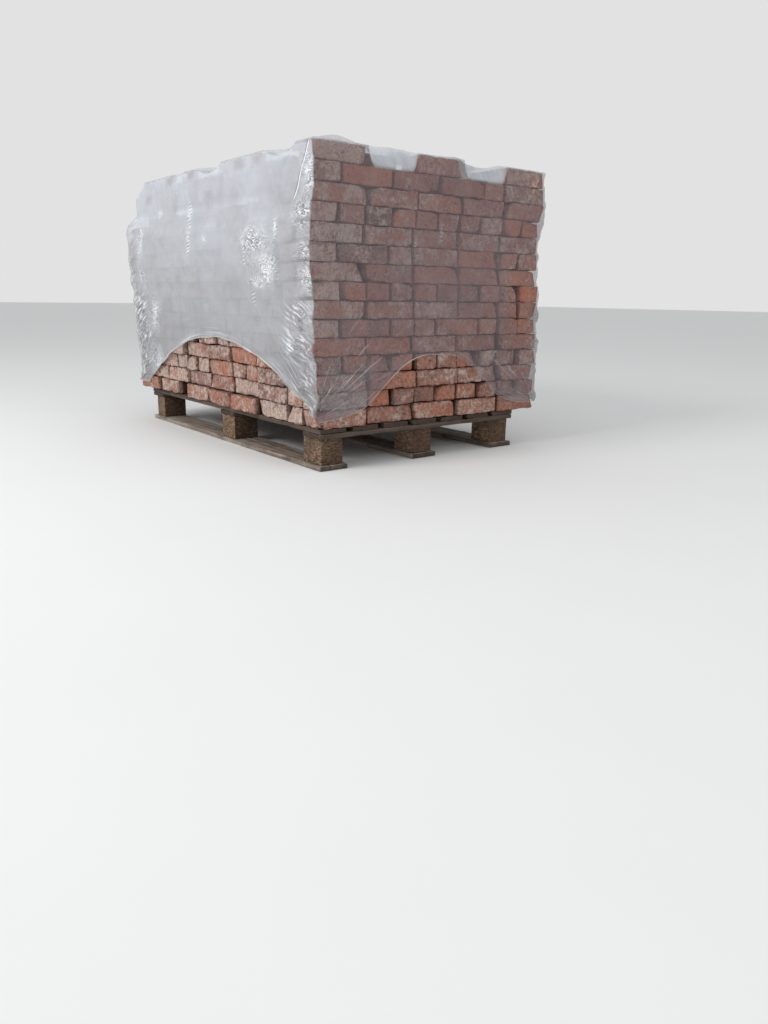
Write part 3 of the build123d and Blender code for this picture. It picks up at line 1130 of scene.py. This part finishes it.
def crinkle_values(at):
    """Painted glints on fine crinkles near the corners and in patches, and painted highlight and shade
    lines for folds that slant to the corners and for one straight fold.
    """
    painted_glints = np.where(at.top, top_painted_glints, 0.0)
    for name, face in at.face.items():
        painted_glints = np.where(face, at.spots(painted_glint_spots[name]), painted_glints)
    slash = np.where(at.long_wall & ~at.top, spots_share(at.from_end, at.z, slash_spots), 0.0)
    down_slope = at.from_end * math.cos(slash_slope) + at.z * math.sin(slash_slope)
    over_slope = at.z * math.cos(slash_slope) - at.from_end * math.sin(slash_slope)
    far_half = np.where(at.along > at.width / 2, 7.0, 2.0)
    fold, fold_share = fold_values(at.along, at.z)
    return {
        "painted_glints": painted_glints,
        "slash": np.where(at.on["back"], 0.6 * slash, slash),
        "slash_place": columns(down_slope * 15, over_slope * 85, far_half),
        "fold": fold,
        "fold_share": np.where(at.on["front"], fold_share, 0.0),
    }


def ladder_values(at):
    """Rows of short dashes, painted as highlights and shade."""
    ladder = np.zeros(len(at.z))
    for name, rows in ladders.items():
        for place, low, high, half_width, strength in rows:
            share = near(np.abs(at.along - place) / half_width, 1.6) * (at.z > low) * (at.z < high)
            ladder = np.where(at.face[name], np.maximum(ladder, strength * share), ladder)
    return {"ladder": ladder, "ladder_phase": at.z * 560 + at.along * 150}


def joint_values(at):
    """Painted shade lines where the joints between the courses show through near the corners."""
    course_pitch = (stack_high[2] - stack_low[2]) / len(course_nodes)
    joint_shade_share = np.where(at.on["front"], near(at.along, 0.17), near(at.from_end, 0.08) * 0.4)
    joint_shade_share = joint_shade_share * np.clip(0.70 + 0.7 * wavy(at.level, 85, 0.10), 0, 1)
    joint_shade_share = joint_shade_share * near(np.abs(at.z - joint_middle), joint_reach)
    return {
        "joint_phase": (at.z - stack_low[2] - 0.005) * (2 * math.pi / course_pitch),
        "joint_shade_share": np.where(at.on["right"] | at.top, 0.0, joint_shade_share),
    }


def veil_values(at, gap):
    """Milkiest on the front, thinnest on the near short side, clearer where it lies on a brick, with a
    painted sky reflection: the front milkier toward the top, the colour whiter and bluer.
    """
    height_share = np.clip(at.height / film_size[2], 0, 1)
    hollow = np.clip(gap / open_gap, 0, 1)
    veil = np.zeros(len(gap))
    for name, level in wall_veils.items():
        veil[at.on[name]] = level
    veil[at.top] = top_veil
    veil = veil + np.where(at.on["right"], 0.20, np.where(at.top, 0.38, 0.14)) * hollow
    # Painted sky reflection: the front grows milkier toward the top
    veil = np.where(at.on["front"], veil + 0.17 * (height_share - 0.55), veil)
    thin_end = 0.15 * near(at.along, 0.30) + 0.12 * near(at.width - at.along, 0.16)
    seen_loose = at.spots(loose_spots, 5.0) * (1 - hollow)
    veil = np.where(at.face["front"], (veil - thin_end) * (1 - loose_clearness * seen_loose), veil)
    thinned = veil * (1 - spot_clearness * at.spots(clear_spots, 4.0))
    veil = np.where(at.on["right"], thinned + spot_haze * at.spots(haze_spots), veil)
    # Painted sky reflection: strong on the top, rising with height on the walls, and in haze patches on
    # the near short side
    painted_sky_reflection = np.where(at.top, 0.9, 0.23 + 0.71 * height_share)
    return {
        "veil": veil,
        "painted_sky_reflection": np.where(at.face["right"], 0.22 * at.spots(haze_spots[1:]), painted_sky_reflection),
        "shaded_side": np.where(at.face["right"], 1.0, 0.0),
    }


def film_relief(points, quads, at, values):
    """Creases, the hem's thickness, and bulges beside the corners from course to course."""
    normals = point_normals(points, quads)
    ridge = wavy(values["pull"][:, :2], 77, 2.4, 9)
    lift = crease_height * values["crease"] * ridge + 0.0006 * wavy(points, 78, 0.09)
    lift += hem_height * at.hem
    at_corner = near(at.from_end, bulge_reach) * np.where(at.top, 0.0, 1.0)
    lift += at_corner * bulge_height * (0.4 + wavy(at.level, 83, 0.085, 9))
    lift += at_corner * 0.35 * bulge_height * wavy(at.level, 84, 0.035, 9)
    return points + normals * lift[:, None]


def build_film():
    lattice, quads = box_surface(film_steps, bottom=False)
    points, gap = film_points(lattice)
    at = FilmPlaces(points, lattice)
    values = crease_values(at) | hem_values(at) | crinkle_values(at)
    values |= ladder_values(at) | joint_values(at) | veil_values(at, gap)
    points = smooth_points(points, quads, 2, 0.5)
    points = outside_bricks(film_relief(points, quads, at, values), lattice)
    points = np.clip(points, film_low - film_spare, film_high + film_spare_up)
    film = make_piece("film_cover", points, quads, film_material(), values)
    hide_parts("stretch_film")
    return film


build_film()


# Floor, light and camera

def build_floor():
    corners = np.array([(-1, -1, 0), (1, -1, 0), (1, 1, 0), (-1, 1, 0)]) * floor_half
    s = Shading("pale_floor")
    colour = s.mix(s.noise(s.place(), 3.0), tint(238, 238, 237), tint(241, 241, 240))
    add_mesh("floor", corners, np.array([(0, 1, 2, 3)]), s.finish(colour, 0.9, {}))


def build_world():
    """Soft light all round, and a plain pale backdrop for what is seen, mirrored or seen through."""
    s = Shading("studio", "worlds")
    light = s.add("Background", {"Color": soft_light, "Strength": soft_light_strength})
    backdrop = s.add("Background", {"Color": tint(226, 226, 227), "Strength": 1.0})
    rays = s.add("LightPath").outputs
    shown = s.most(rays["Is Camera Ray"], rays["Is Glossy Ray"], rays["Is Transmission Ray"])
    mixed = s.add("MixShader", {0: shown, 1: light.outputs[0], 2: backdrop.outputs[0]})
    s.add("OutputWorld", {0: mixed.outputs[0]})
    bpy.context.scene.world = s.owner


def build_lamp(name, place, watts):
    lamp = bpy.data.lights.new(name, "AREA")
    lamp.shape = "DISK"
    lamp.size = lamp_size
    lamp.energy = watts
    holder = put(name, lamp)
    holder.location = place
    holder.rotation_mode = "QUATERNION"
    holder.rotation_quaternion = (lamp_target - Vector(place)).to_track_quat("-Z", "Y")


def build_camera():
    forward = camera_heading.normalized() * math.cos(camera_tilt) - Vector((0, 0, math.sin(camera_tilt)))
    upright = camera_heading.normalized() * math.sin(camera_tilt) + Vector((0, 0, math.cos(camera_tilt)))
    sideways = forward.cross(upright)
    right = sideways * math.cos(camera_roll) + upright * math.sin(camera_roll)
    up = upright * math.cos(camera_roll) - sideways * math.sin(camera_roll)
    turn = Matrix((right, up, -forward)).transposed()
    data = bpy.data.cameras.new("camera")
    data.sensor_fit = "AUTO"
    data.sensor_width = sensor_long_side
    data.lens = focal_pixels / frame_height_pixels * sensor_long_side
    camera = put("camera", data)
    camera.matrix_world = Matrix.Translation(camera_place) @ turn.to_4x4()
    bpy.context.scene.camera = camera


build_floor()
build_world()
build_lamp("key", (0.2, -4.5, 3.2), 130)
build_lamp("fill", (4.5, 0.5, 2.8), 24)
build_camera()
bpy.context.scene.view_settings.view_transform = "Standard"
